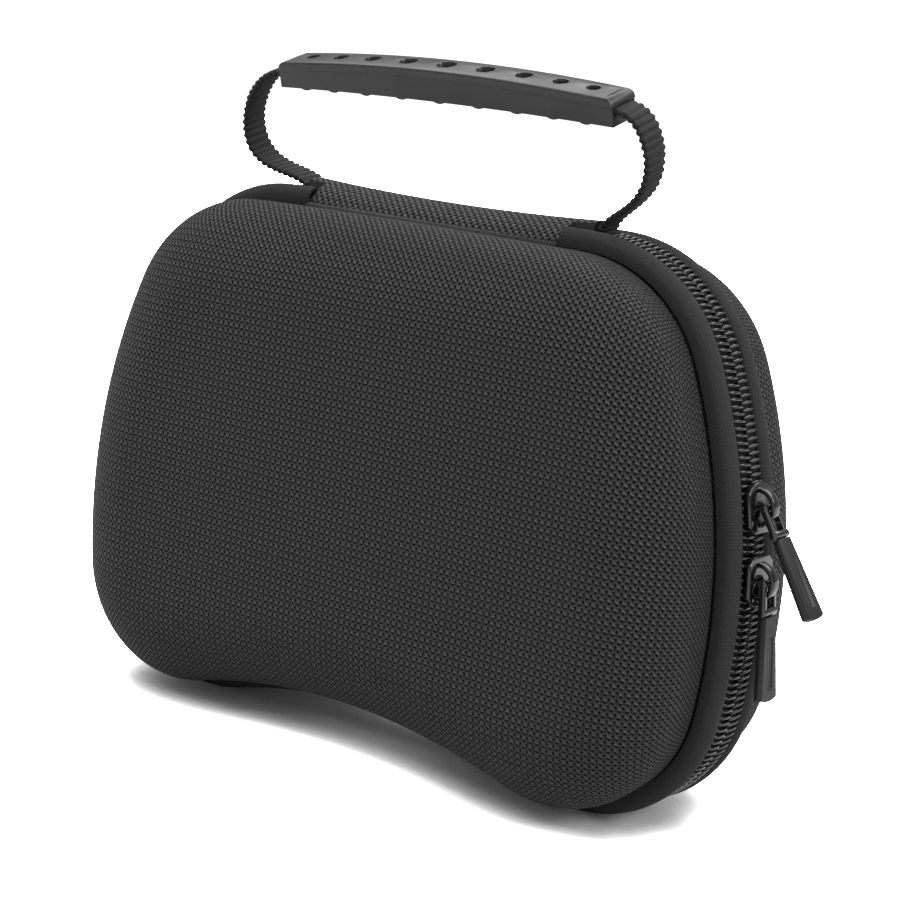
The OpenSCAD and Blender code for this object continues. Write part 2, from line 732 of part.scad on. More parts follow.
// Elastic strap across the back half, which holds the controller
module retaining_strap() {
    strap_t = 1.2;
    color([0.13, 0.13, 0.14]) placed() translate([0, crease_y, 0]) rotate([90, 0, 0])
    linear_extrude(strap_t) intersection() {
        inner_plan();
        translate([-case_w, strap_z - strap_w / 2]) square([2 * case_w, strap_w]);
    }
}

// Half width inside the seam binding at the height z, on the side arc or the corner arc
function inner_half_width(z) =
    let (
        d = binding_in_d + seat,
        on_corner = z > side_c.y + (side_r - d) * sin(a_side_high),
        c = on_corner ? corner_c : side_c,
        r = (on_corner ? corner_r : side_r) - d)
    c.x + sqrt(r * r - pow(z - c.y, 2)) - seat;

back_shell();
front_shell();
hinge_spine();
back_zip_tape();
front_zip_tape();
back_zip_coil();
front_zip_coil();
back_seam_binding();
front_seam_binding();
upper_slider();
lower_slider();
upper_pull_stirrup();
lower_pull_stirrup();
upper_pull_tab();
lower_pull_tab();
handle_webbing();
handle_grip();
mesh_pocket();
pocket_hem();
retaining_strap();
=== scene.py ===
import math

import bpy
import numpy as np
from mathutils import Matrix, Vector


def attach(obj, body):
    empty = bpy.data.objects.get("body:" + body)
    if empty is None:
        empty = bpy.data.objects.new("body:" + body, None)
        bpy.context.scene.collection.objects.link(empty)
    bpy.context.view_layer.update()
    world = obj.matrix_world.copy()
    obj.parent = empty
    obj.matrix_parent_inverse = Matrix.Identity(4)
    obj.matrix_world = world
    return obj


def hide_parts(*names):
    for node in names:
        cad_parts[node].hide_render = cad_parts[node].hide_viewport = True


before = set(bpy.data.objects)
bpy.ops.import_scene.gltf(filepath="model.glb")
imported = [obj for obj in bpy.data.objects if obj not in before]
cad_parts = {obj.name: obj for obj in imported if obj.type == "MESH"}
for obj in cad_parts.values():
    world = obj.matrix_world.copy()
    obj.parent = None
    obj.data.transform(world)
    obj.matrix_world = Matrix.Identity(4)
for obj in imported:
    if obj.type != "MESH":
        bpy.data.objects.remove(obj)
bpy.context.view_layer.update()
MM = 0.001

# Sizes of the case in millimetres, as in part.scad
CASE_W, CASE_H, WIDEST_Z = 180.0, 129.0, 48.0
TOP_R, CORNER_R, SIDE_R, LOBE_R, NOTCH_R, REST_FLAT = 3000.0, 38.0, 145.5, 33.4, 167.5, 0.4
HALF_DEPTH, WALL_T, CREASE_D, FLARE, BEVEL_D, BEVEL_Y = 33.7, 3.2, 4.5, 0.06, 21.0, 14.8
RIM_Y, RIM_R, RIM_X, TAPE_T, BED_D = 7.2, 2.7, 36.0, 0.8, 1.9
SEAT, CLEAR, BINDING_T = 0.1, 0.3, 0.6
SPINE_X, SPINE_DIP, CREST_Z, SPINE_T = 41.0, 1.2, 129.5, 3.0
UPPER_ANGLE, UPPER_TILT, PIN_X, TAB_REACH, TAB_T = 10.8, 33.0, 2.85, 25.75, 2.0
WEB_W, WEB_T, WEB_BULGE, WEB_BULGE_H, WEB_SKEW = 7.6, 1.6, 57.6, 15.6, 2.4
LEAN, GRIP_SHIFT, GRIP_L, GRIP_Z, BAR_RISE, FLAP_H = 18.0, 1.2, 93.5, 25.4, 2.2, 4.2

CREASE_Y = RIM_Y + RIM_R
BEVEL_START_Y = HALF_DEPTH - BEVEL_Y
BEVEL_START_D = CREASE_D - FLARE * (BEVEL_START_Y - CREASE_Y)
ZIP_IN_D = CREASE_D + WALL_T + SEAT + BINDING_T
INNER_RIM_Y = RIM_Y - RIM_R + 0.05
WEB_X = SPINE_X + CLEAR + WEB_T / 2
CHAIN_X = WEB_X + WEB_T / 2 + 2.0
TIP_X = (CASE_W / 2 - SIDE_R + (SIDE_R + PIN_X) * math.cos(math.radians(UPPER_ANGLE))
         + TAB_REACH * math.sin(math.radians(UPPER_TILT))
         + TAB_T / 2 * math.cos(math.radians(UPPER_TILT)))
MID_X = (TIP_X - CASE_W / 2) / 2


# Outline of the case

def angle_of(v):
    return math.atan2(v[1], v[0])


def meeting(a, ra, b, rb):
    """The right-hand meeting point of two circles, by their centres and radii."""
    v = b - a
    s = np.linalg.norm(v)
    u = v / s
    t = (s * s + ra * ra - rb * rb) / (2 * s)
    side = np.array([u[1], -u[0]])
    if side[0] < 0:
        side = -side
    return a + t * u + math.sqrt(ra * ra - t * t) * side


SIDE_C = np.array([CASE_W / 2 - SIDE_R, WIDEST_Z])
TOP_C = np.array([0.0, CASE_H - TOP_R])
LOBE_Z = LOBE_R - REST_FLAT
LOBE_X = SIDE_C[0] + math.sqrt((SIDE_R - LOBE_R) ** 2 - (LOBE_Z - WIDEST_Z) ** 2)
LOBE_C = np.array([LOBE_X, LOBE_Z])
NOTCH_C = np.array([0.0, LOBE_Z - math.sqrt((NOTCH_R + LOBE_R) ** 2 - LOBE_C[0] ** 2)])
CORNER_C = meeting(TOP_C, TOP_R - CORNER_R, SIDE_C, SIDE_R - CORNER_R)
A_TOP = angle_of(CORNER_C - TOP_C)
A_HIGH = angle_of(CORNER_C - SIDE_C)
A_LOW = angle_of(LOBE_C - SIDE_C)
A_NOTCH = angle_of(LOBE_C - NOTCH_C)
A_ZIP = math.acos(RIM_X / (TOP_R - BED_D))


class Path:
    """Points along the outline, from the arcs of its right half and their mirror images.

    Each point keeps the centre, radius and bulge of its arc (1 outwards, -1 inwards) and its
    direction from that centre; length is the way along the outline up to it.
    """

    def __init__(self, arcs, step, closed):
        centre, radius, sign, way = [], [], [], []
        for middle, r, bulge, start, end in arcs:
            n = max(2, round(abs(end - start) * r / step))
            for i in range(n):
                t = start + (end - start) * i / n
                centre.append(middle)
                radius.append(r)
                sign.append(bulge)
                way.append((math.cos(t), math.sin(t)))
        half = [np.array(x, float) for x in (centre, radius, sign, way)]
        last = [np.array([middle]), np.array([r]), np.array([bulge]),
                np.array([(math.cos(end), math.sin(end))])]
        # A closed outline has its first point only once
        first = 1 if closed else 0
        flip = np.array([-1.0, 1.0])
        back = [half[0][first:][::-1] * flip, half[1][first:][::-1], half[2][first:][::-1],
                half[3][first:][::-1] * flip]
        self.centre, self.radius, self.sign, self.way = (
            np.concatenate([h, x, k]) for h, x, k in zip(half, last, back))
        self.closed = closed
        p = self.at(0.0)
        self.length = np.concatenate([[0], np.cumsum(np.linalg.norm(np.diff(p, axis=0), axis=1))])

    def at(self, d):
        """The points of the outline inset by d."""
        return self.centre + (self.radius - self.sign * d)[:, None] * self.way

    def normal(self):
        return self.way * self.sign[:, None]


HALF_ARCS = [(SIDE_C, SIDE_R, 1, A_HIGH, A_LOW), (LOBE_C, LOBE_R, 1, A_LOW, A_NOTCH - math.pi),
             (NOTCH_C, NOTCH_R, -1, A_NOTCH, math.pi / 2)]


def ring_path(step):
    return Path([(TOP_C, TOP_R, 1, math.pi / 2, A_TOP), (CORNER_C, CORNER_R, 1, A_TOP, A_HIGH)]
                + HALF_ARCS, step, True)


def zip_path(step):
    return Path([(TOP_C, TOP_R, 1, A_ZIP, A_TOP), (CORNER_C, CORNER_R, 1, A_TOP, A_HIGH)]
                + HALF_ARCS, step, False)


# Mesh building

def make_object(name, points, faces, uvs, materials, face_slots=None):
    """points in millimetres from the case's middle plane; uvs as one pair for each point."""
    mesh = bpy.data.meshes.new(name)
    points = (np.asarray(points, float) - np.array([MID_X, 0.0, 0.0])) * MM
    mesh.from_pydata([tuple(p) for p in points], [], faces)
    mesh.update()
    if uvs is not None:
        layer = mesh.uv_layers.new(name="cloth")
        index = np.zeros(len(mesh.loops), np.int64)
        mesh.loops.foreach_get("vertex_index", index)
        layer.data.foreach_set("uv", np.asarray(uvs, np.float32)[index].ravel())
    for m in materials:
        mesh.materials.append(m)
    if face_slots is not None:
        mesh.polygons.foreach_set("material_index", np.asarray(face_slots, np.int32))
    mesh.shade_smooth()
    obj = bpy.data.objects.new(name, mesh)
    bpy.context.scene.collection.objects.link(obj)
    return obj


def grid_faces(rows, cols, wrap_cols, wrap_rows=False):
    faces = []
    for i in range(rows if wrap_rows else rows - 1):
        a, b = i * cols, ((i + 1) % rows) * cols
        for j in range(cols if wrap_cols else cols - 1):
            k = (j + 1) % cols
            faces.append((a + j, a + k, b + k, b + j))
    return faces


def side_caps(rows, cols):
    """Faces that close both ends of a strip whose profile is wrapped round the rows."""
    return [tuple(i * cols for i in range(rows)),
            tuple(i * cols + cols - 1 for i in range(rows - 1, -1, -1))]


def mirrored_y(points, faces, side):
    """Front pieces are the back ones mirrored in the zip plane, with their faces turned round."""
    if side > 0:
        return points, faces
    return points * np.array([1.0, -1.0, 1.0]), [f[::-1] for f in faces]


def sharpen(obj, degrees):
    obj.data.set_sharp_from_angle(angle=math.radians(degrees))


def sweep(name, path, profile, side, material, y_min=None):
    """Carries a closed [y, d] profile along a path; UV runs along the path and the profile."""
    prof = np.array(profile, float)
    rows, cols = len(prof), len(path.length)
    if y_min is None:
        y_min = np.zeros(cols)
    across = np.concatenate([[0], np.cumsum(np.linalg.norm(np.diff(prof, axis=0), axis=1))])
    points, uvs = [], []
    for (y, d), v in zip(prof, across):
        p = path.at(d)
        points.append(np.stack([p[:, 0], np.maximum(y_min, y), p[:, 1]], 1))
        uvs.append(np.stack([path.length, np.full(cols, v)], 1))
    points, uvs = np.concatenate(points), np.concatenate(uvs)
    # The rims are pressed flat where the case stands on them
    points[:, 2] = np.maximum(points[:, 2], 0)
    faces = grid_faces(rows, cols, path.closed, True)
    if not path.closed:
        faces += side_caps(rows, cols)
    points, faces = mirrored_y(points, faces, side)
    obj = make_object(name, points, faces, uvs, [material])
    sharpen(obj, 50)
    return obj


# Shader building

DIAGONAL = math.pi / 4


def new_material(name, base, rough):
    mat = bpy.data.materials.new(name)
    mat.use_nodes = True
    tree = mat.node_tree
    shader = tree.nodes["Principled BSDF"]
    shader.inputs["Base Color"].default_value = (*base, 1)
    shader.inputs["Roughness"].default_value = rough
    return mat, tree, shader


def calc(tree, operation, a, b=None):
    """A Math node; a and b are numbers or the outputs of other nodes."""
    node = tree.nodes.new("ShaderNodeMath")
    node.operation = operation
    for socket, value in zip(node.inputs, (a, b)):
        if value is None:
            continue
        if isinstance(value, (int, float)):
            socket.default_value = value
        else:
            tree.links.new(value, socket)
    return node.outputs[0]


def cloth_axes(tree, turn):
    """The two cloth coordinates in millimetres, turned by an angle."""
    coord = tree.nodes.new("ShaderNodeUVMap")
    coord.uv_map = "cloth"
    parts = tree.nodes.new("ShaderNodeSeparateXYZ")
    tree.links.new(coord.outputs[0], parts.inputs[0])
    return turned(tree, parts.outputs[0], parts.outputs[1], turn)


def upright_axes(tree, turn):
    """Width and height in millimetres, for the flat pieces inside the lid."""
    parts = tree.nodes.new("ShaderNodeSeparateXYZ")
    tree.links.new(tree.nodes.new("ShaderNodeTexCoord").outputs["Object"], parts.inputs[0])
    return turned(tree, calc(tree, "MULTIPLY", parts.outputs[0], 1000.0),
                  calc(tree, "MULTIPLY", parts.outputs[2], 1000.0), turn)


def turned(tree, u, v, turn):
    """Both coordinates in axes that are turned by an angle."""
    c, s = math.cos(turn), math.sin(turn)
    return (calc(tree, "ADD", calc(tree, "MULTIPLY", u, c), calc(tree, "MULTIPLY", v, s)),
            calc(tree, "SUBTRACT", calc(tree, "MULTIPLY", v, c), calc(tree, "MULTIPLY", u, s)))


def openness(tree, reach):
    """How open the surface lies to its surroundings within a reach in millimetres, 0 to 1."""
    node = tree.nodes.new("ShaderNodeAmbientOcclusion")
    node.inputs["Distance"].default_value = reach * MM
    node.samples = 8
    return node.outputs["AO"]


def noise(tree, scale, detail=2.0):
    node = tree.nodes.new("ShaderNodeTexNoise")
    node.inputs["Scale"].default_value = scale
    node.inputs["Detail"].default_value = detail
    place = tree.nodes.new("ShaderNodeTexCoord").outputs["Object"]
    tree.links.new(place, node.inputs["Vector"])
    return node.outputs["Fac"]


def spread(tree, value, low, high, to_low, to_high):
    """Spreads the range from low to high over the one from to_low to to_high."""
    node = tree.nodes.new("ShaderNodeMapRange")
    for key, x in zip(("From Min", "From Max", "To Min", "To Max"), (low, high, to_low, to_high)):
        node.inputs[key].default_value = x
    tree.links.new(value, node.inputs["Value"])
    return node.outputs[0]


def mix_colour(tree, factor, a, b):
    node = tree.nodes.new("ShaderNodeMix")
    node.data_type = "RGBA"
    tree.links.new(factor, node.inputs["Factor"])
    node.inputs["A"].default_value = (*a, 1)
    node.inputs["B"].default_value = (*b, 1)
    return node.outputs["Result"]


def add_bump(tree, shader, height, distance):
    node = tree.nodes.new("ShaderNodeBump")
    node.inputs["Distance"].default_value = distance * MM
    tree.links.new(height, node.inputs["Height"])
    tree.links.new(node.outputs[0], shader.inputs["Normal"])


def woven(name, pitch, dark, light, relief, rough, spec, painted_shade_reach=3.0):
    """Plain weave of thick threads on the bias: warp and weft cross over and under each other.

    Within the reach given in millimetres by its last argument, painted shade darkens the cloth's
    colour beside other surfaces.
    """
    mat, tree, shader = new_material(name, light, rough)
    a, b = cloth_axes(tree, DIAGONAL)
    sa = calc(tree, "SINE", calc(tree, "MULTIPLY", a, math.pi / pitch))
    sb = calc(tree, "SINE", calc(tree, "MULTIPLY", b, math.pi / pitch))
    over = 0.45
    warp = calc(tree, "ADD", calc(tree, "ABSOLUTE", sa),
                calc(tree, "MULTIPLY", calc(tree, "MULTIPLY", calc(tree, "SIGN", sa), sb), over))
    weft = calc(tree, "SUBTRACT", calc(tree, "ABSOLUTE", sb),
                calc(tree, "MULTIPLY", calc(tree, "MULTIPLY", calc(tree, "SIGN", sb), sa), over))
    height = calc(tree, "MAXIMUM", warp, weft)
    fuzz = noise(tree, 900.0, 3.0)
    rough_height = calc(tree, "ADD", height, calc(tree, "MULTIPLY", fuzz, 0.35))
    # Dark holes where the threads meet, and the warp a little brighter than the weft
    thread = calc(tree, "MAXIMUM", calc(tree, "ABSOLUTE", sa), calc(tree, "ABSOLUTE", sb))
    filled = spread(tree, thread, 0.5, 0.8, 0.0, 1.0)
    brighter = spread(tree, calc(tree, "SUBTRACT", warp, weft), -0.2, 0.2, 0.65, 1.0)
    shade = calc(tree, "MULTIPLY", filled, brighter)
    patch = spread(tree, noise(tree, 35.0), 0.3, 0.7, 0.8, 1.0)
    # Painted shade: the colour darkens where other surfaces lie close by
    shade = calc(tree, "MULTIPLY", shade, spread(tree, openness(tree, painted_shade_reach), 0.2, 0.8, 0.1, 1.0))
    colour = mix_colour(tree, calc(tree, "MULTIPLY", shade, patch), dark, light)
    tree.links.new(colour, shader.inputs["Base Color"])
    tree.links.new(spread(tree, height, 0.5, 1.4, rough + 0.25, rough), shader.inputs["Roughness"])
    tree.links.new(spread(tree, shade, 0.2, 1.0, 0.02, spec),
                   shader.inputs["Specular IOR Level"])
    shader.inputs["Sheen Weight"].default_value = 0.03
    shader.inputs["Sheen Roughness"].default_value = 0.5
    add_bump(tree, shader, rough_height, relief)
    return mat


def felted(name, base, rough, grain, relief, sheen):
    """Lining without a weave: a fine grain and a slightly uneven gloss."""
    mat, tree, shader = new_material(name, base, rough)
    fine = noise(tree, grain, 3.0)
    broad = noise(tree, 60.0)
    tree.links.new(spread(tree, broad, 0.3, 0.7, rough - 0.06, rough + 0.08),
                   shader.inputs["Roughness"])
    shader.inputs["Sheen Weight"].default_value = sheen
    add_bump(tree, shader, fine, relief)
    return mat


def ribbed(name, base, pitch, relief, rough, sheen, axes=cloth_axes):
    """Woven tape with ribs across it."""
    mat, tree, shader = new_material(name, base, rough)
    a, b = axes(tree, 0.0)
    rib = calc(tree, "ABSOLUTE", calc(tree, "SINE", calc(tree, "MULTIPLY", a, math.pi / pitch)))
    yarn = calc(tree, "SINE", calc(tree, "MULTIPLY", b, 2 * math.pi / (pitch * 0.45)))
    height = calc(tree, "ADD", rib, calc(tree, "MULTIPLY", yarn, 0.15))
    height = calc(tree, "ADD", height, calc(tree, "MULTIPLY", noise(tree, 1200.0), 0.3))
    # Painted shade: the colour darkens in the troughs between the ribs, following their height
    dark = tuple(x * 0.35 for x in base)
    tree.links.new(mix_colour(tree, rib, dark, base), shader.inputs["Base Color"])
    shader.inputs["Sheen Weight"].default_value = sheen
    add_bump(tree, shader, height, relief)
    return mat


def net(name, base, pitch, thread):
    """Knitted net: two crossing sets of threads with open holes between them."""
    mat, tree, shader = new_material(name, base, 0.8)
    a, b = upright_axes(tree, DIAGONAL)
    across = calc(tree, "ABSOLUTE", calc(tree, "SINE", calc(tree, "MULTIPLY", a, math.pi / pitch)))
    along = calc(tree, "ABSOLUTE", calc(tree, "SINE", calc(tree, "MULTIPLY", b, math.pi / pitch)))
    height = calc(tree, "MAXIMUM", across, along)
    tree.links.new(spread(tree, height, thread, thread + 0.05, 0.0, 1.0), shader.inputs["Alpha"])
    add_bump(tree, shader, height, 0.2)
    return mat


def moulded(name, base, rough, grain=700.0, relief=0.02, coat=0.0, wear=0.1, hollow_shade_reach=0.0):
    """Moulded rubber, plastic or painted metal with a fine grain and uneven gloss.

    Where a reach in millimetres is given as its last argument, holes of about that size turn dark:
    painted shade.
    """
    mat, tree, shader = new_material(name, base, rough)
    if hollow_shade_reach:
        # Painted shade: the colour turns nearly black inside holes of about the reach's size
        unshaded_share = spread(tree, openness(tree, hollow_shade_reach), 0.55, 0.95, 0.0, 1.0)
        tree.links.new(mix_colour(tree, unshaded_share, (0.002, 0.002, 0.002), base),
                       shader.inputs["Base Color"])
    broad = noise(tree, 140.0, 3.0)
    tree.links.new(spread(tree, broad, 0.25, 0.75, max(0.03, rough - wear), rough + wear),
                   shader.inputs["Roughness"])
    shader.inputs["Coat Weight"].default_value = coat
    shader.inputs["Coat Roughness"].default_value = 0.12
    add_bump(tree, shader, noise(tree, grain, 3.0), relief)
    return mat


shell_cloth = woven("shell_cloth", 1.15, (0.003, 0.003, 0.003), (0.019, 0.019, 0.0193),
                    relief=0.45, rough=0.42, spec=0.5, painted_shade_reach=5.0)
spine_cloth = woven("spine_cloth", 1.3, (0.004, 0.004, 0.004), (0.03, 0.03, 0.0304),
                    relief=0.5, rough=0.42, spec=0.5)
lining = felted("lining", (0.02, 0.02, 0.021), 0.85, 2500.0, 0.05, sheen=0.1)
tape_cloth = woven("tape_cloth", 0.45, (0.019, 0.019, 0.0192), (0.034, 0.034, 0.0344),
                   relief=0.06, rough=0.6, spec=0.2)
coil_nylon = moulded("coil_nylon", (0.008, 0.008, 0.0085), 0.2, coat=0.6)
binding_cloth = ribbed("binding_cloth", (0.02, 0.02, 0.021), 0.8, 0.12, 0.7, sheen=0.05)
slider_paint = moulded("slider_paint", (0.004, 0.004, 0.0044), 0.1, 300.0, 0.01, coat=1.0,
                       wear=0.04)
pull_satin = moulded("pull_satin", (0.012, 0.012, 0.013), 0.4, 900.0, 0.02)
web_cloth = ribbed("web_cloth", (0.005, 0.005, 0.0052), 0.75, 0.08, 0.75, sheen=0.02)
grip_rubber = moulded("grip_rubber", (0.03, 0.03, 0.0305), 0.33, 500.0, 0.015, hollow_shade_reach=2.5)
elastic = ribbed("elastic", (0.02, 0.02, 0.021), 1.1, 0.15, 0.75, sheen=0.05, axes=upright_axes)
pocket_net = net("pocket_net", (0.03, 0.03, 0.031), 2.0, 0.82)


# Shells: cloth outside and lining inside, one mesh each

# The cloth rolls inwards where it meets the rim, which makes the soft dark groove. It turns by
# these angles in degrees and starts a hair above the rim.
ROLL_R = 1.7
ROLL_TURNS = (0, 18, 36, 54, 72)
ROLL_GAP = 0.02
WALL_STEPS, OUTER_BEVEL_STEPS, INNER_BEVEL_STEPS = 4, 22, 14
SHELL_STEP = 1.3
# Rings of the flat face, as shares of the way from its middle to the bevel
FACE_MIDDLE = np.array([0.0, 66.0])
FACE_SHARES = (0.04, 0.2, 0.4, 0.6, 0.75, 0.88, 0.96)
CLOTH, LINING = 0, 1


def shell_surface(off, steps):
    """The [y, d] points of a shell lowered by off, from its crease to the flat face."""
    out = []
    if off == 0.0:
        for t in ROLL_TURNS:
            a = math.radians(t)
            out.append((CREASE_Y + ROLL_GAP + ROLL_R * (1 - math.cos(a)),
                        CREASE_D + ROLL_R * (1 - math.sin(a)) - FLARE * ROLL_R))
    for i in range(WALL_STEPS):
        y = CREASE_Y + ROLL_R + (BEVEL_START_Y - CREASE_Y - ROLL_R) * i / WALL_STEPS
        out.append((y, CREASE_D + off - FLARE * (y - CREASE_Y)))
    for i in range(steps + 1):
        a = math.pi / 2 * i / steps
        out.append((BEVEL_START_Y + (BEVEL_Y - off) * math.sin(a),
                    BEVEL_START_D + BEVEL_D - (BEVEL_D - off) * math.cos(a)))
    return out


def shell(name, side):
    """Rings from the middle of the face over the bevel to the rim, and inside back again."""
    path = ring_path(SHELL_STEP)
    cols = len(path.length)
    normal = path.normal()
    edge = path.at(BEVEL_START_D + BEVEL_D)
    points, uvs, slots = [], [], []

    def add_ring(y, place, cloth, slot):
        points.append(np.stack([place[:, 0], np.full(cols, y), place[:, 1]], 1))
        uvs.append(cloth)
        slots.append(slot)

    def add_face(y, shares, slot):
        for share in shares:
            place = FACE_MIDDLE + (edge - FACE_MIDDLE) * share
            add_ring(y, place, place, slot)

    outer = shell_surface(0.0, OUTER_BEVEL_STEPS)[::-1]
    inner = shell_surface(WALL_T, INNER_BEVEL_STEPS)
    add_face(outer[0][0], FACE_SHARES, CLOTH)
    length, last = 0.0, outer[0]
    for y, d in outer:
        length += math.hypot(y - last[0], d - last[1])
        last = (y, d)
        add_ring(y, path.at(d), edge + normal * length, CLOTH)
    # The cloth ends at the rim
    slots[-1] = LINING
    for y, d in inner:
        add_ring(y, path.at(d), path.at(d), LINING)
    add_face(inner[-1][0], FACE_SHARES[::-1], LINING)
    rows = len(points)
    faces = grid_faces(rows, cols, True)
    face_slots = np.repeat(slots[:-1], cols).tolist()
    faces.append(tuple(range(cols - 1, -1, -1)))
    faces.append(tuple((rows - 1) * cols + j for j in range(cols)))
    face_slots += [CLOTH, LINING]
    points, faces = mirrored_y(np.concatenate(points), faces, side)
    obj = make_object(name, points, faces, np.concatenate(uvs), [shell_cloth, lining], face_slots)
    sharpen(obj, 60)
    return obj


def fit_piece(obj, body, node):
    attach(obj, body)
    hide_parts(node)


fit_piece(shell("back_cloth", 1), "back_half", "back_shell")
fit_piece(shell("front_cloth", -1), "front_half", "front_shell")


# Zip tapes, bindings and coils

def rim_arc(r, a, b, n):
    out = []
    for i in range(n + 1):
        t = math.radians(a + (b - a) * i / n)
        out.append((RIM_Y + r * math.sin(t), RIM_R - r * math.cos(t)))
    return out


BED_ANGLE = -math.degrees(math.acos((RIM_R - BED_D) / RIM_R))
BED_IN_ANGLE = -math.degrees(math.acos((RIM_R - BED_D - TAPE_T) / (RIM_R - TAPE_T)))
# The two tapes nearly meet under the coils, as those of a closed zip do
TAPE_EDGE = 0.04
RIM_STEPS, INNER_RIM_STEPS = 20, 12
TAPE = ([(TAPE_EDGE, BED_D)] + rim_arc(RIM_R, BED_ANGLE, 90, RIM_STEPS)
        + [(CREASE_Y, CREASE_D - SEAT), (CREASE_Y - TAPE_T, CREASE_D - SEAT)]
        + rim_arc(RIM_R - TAPE_T, 90, BED_IN_ANGLE, INNER_RIM_STEPS)
        + [(TAPE_EDGE, BED_D + TAPE_T)])
LIP_Y = RIM_Y - (RIM_R - TAPE_T - SEAT)
BINDING = [(LIP_Y - SEAT, BED_D + TAPE_T + CLEAR), (LIP_Y - SEAT, CREASE_D + 2 * SEAT),
           (RIM_Y + 1 - SEAT, CREASE_D + WALL_T), (CREASE_Y - SEAT, ZIP_IN_D - BINDING_T),
           (CREASE_Y - SEAT, ZIP_IN_D), (RIM_Y + 1 - BINDING_T, ZIP_IN_D),
           (LIP_Y - SEAT - BINDING_T, CREASE_D + 4 * SEAT),
           (LIP_Y - SEAT - BINDING_T, BED_D + TAPE_T + CLEAR)]
# One loop of the coil as [y, d] points, from its foot on the tape over to its head at the middle
TOOTH = np.array([(4.4, 1.5), (4.35, 0.95), (3.9, 0.7), (2.4, 0.6), (0.6, 0.68), (0.1, 0.95),
                  (0.12, 1.5)])
TOOTH_R, TOOTH_PITCH, TOOTH_LEAN, TOOTH_SIDES = 0.36, 1.56, 0.3, 8
# Free ends of the coil beside the webbing, and steps of the lines that the zip's pieces follow
COIL_END = 0.3
COIL_STEP, TAPE_STEP, BINDING_STEP = 0.1, 1.0, 2.0


def coil(name, side, phase):
    """Single loops; phase shifts those of one half in between those of the other."""
    path = zip_path(COIL_STEP)
    base, normal = path.at(0.0), path.normal()
    way = np.gradient(base, path.length, axis=0)
    first_s = path.length[np.argmax(base[:, 0] > CHAIN_X)]
    sides = TOOTH_SIDES
    turn = np.linspace(0, 2 * math.pi, sides, endpoint=False)
    last_s = path.length[-1] - first_s - COIL_END
    points, faces = [], []
    for s in np.arange(first_s + COIL_END + phase, last_s, TOOTH_PITCH):
        i = int(np.searchsorted(path.length, s))
        along = np.array([way[i][0], 0, way[i][1]])
        along /= np.linalg.norm(along)
        out = np.array([normal[i][0], 0, normal[i][1]])
        origin = np.array([base[i][0], 0, base[i][1]])
        line = []
        for k, (y, d) in enumerate(TOOTH):
            lean = TOOTH_LEAN * (k / (len(TOOTH) - 1) - 0.5) * 2
            line.append(origin + np.array([0, y, 0]) - out * d + along * lean)
        line = np.array(line)
        first = len(points)
        for p, w in zip(line, np.gradient(line, axis=0)):
            w = w / np.linalg.norm(w)
            up = np.cross(w, along)
            up /= np.linalg.norm(up)
            other = np.cross(w, up)
            for t in turn:
                points.append(p + TOOTH_R * (math.cos(t) * up + math.sin(t) * other))
        for k in range(len(TOOTH) - 1):
            for j in range(sides):
                a, b = first + k * sides, first + (k + 1) * sides
                m = (j + 1) % sides
                faces.append((a + j, b + j, b + m, a + m))
        faces.append(tuple(first + j for j in range(sides)))
        faces.append(tuple(first + (len(TOOTH) - 1) * sides + j for j in range(sides - 1, -1, -1)))
    points, faces = mirrored_y(np.array(points), faces, side)
    return make_object(name, points, faces, None, [coil_nylon])


def tape(name, side):
    """Beside the webbing's root only the rim goes on, without the tape's inner edge."""
    path = zip_path(TAPE_STEP)
    bed = path.at(BED_D)
    beside_root = (np.abs(bed[:, 0]) < CHAIN_X) & (bed[:, 1] > WIDEST_Z)
    return sweep(name, path, TAPE, side, tape_cloth, np.where(beside_root, INNER_RIM_Y, 0.0))


for side, half, phase in ((1, "back", 0.0), (-1, "front", TOOTH_PITCH / 2)):
    body = half + "_half"
    fit_piece(tape(half + "_tape", side), body, half + "_zip_tape")
    binding = sweep(half + "_binding", zip_path(BINDING_STEP), BINDING, side, binding_cloth)
    fit_piece(binding, body, half + "_seam_binding")
    fit_piece(coil(half + "_coil", side, phase), body, half + "_zip_coil")


# Spine: an arched strip of the same cloth, lined below

# Rows across its outer and inner side, and columns along its middle and each tongue
SPINE_ROWS, SPINE_INNER_ROWS, SPINE_COLS, TONGUE_COLS = 33, 65, 81, 8
# Gap that the cloth leaves to the shells, and the tiny step from its middle to a tongue
SPINE_GAP, TONGUE_STEP = 0.03, 1e-6
# The sewn folds: they lie a little below the hinge line and stop just short of the rims
BEAD_R, BEAD_SIDES, BEAD_DROP, BEAD_END = 0.8, 16, 0.1, 0.02
# Turn of the cloth round a fold, in radians
BEAD_WRAP = 6.0

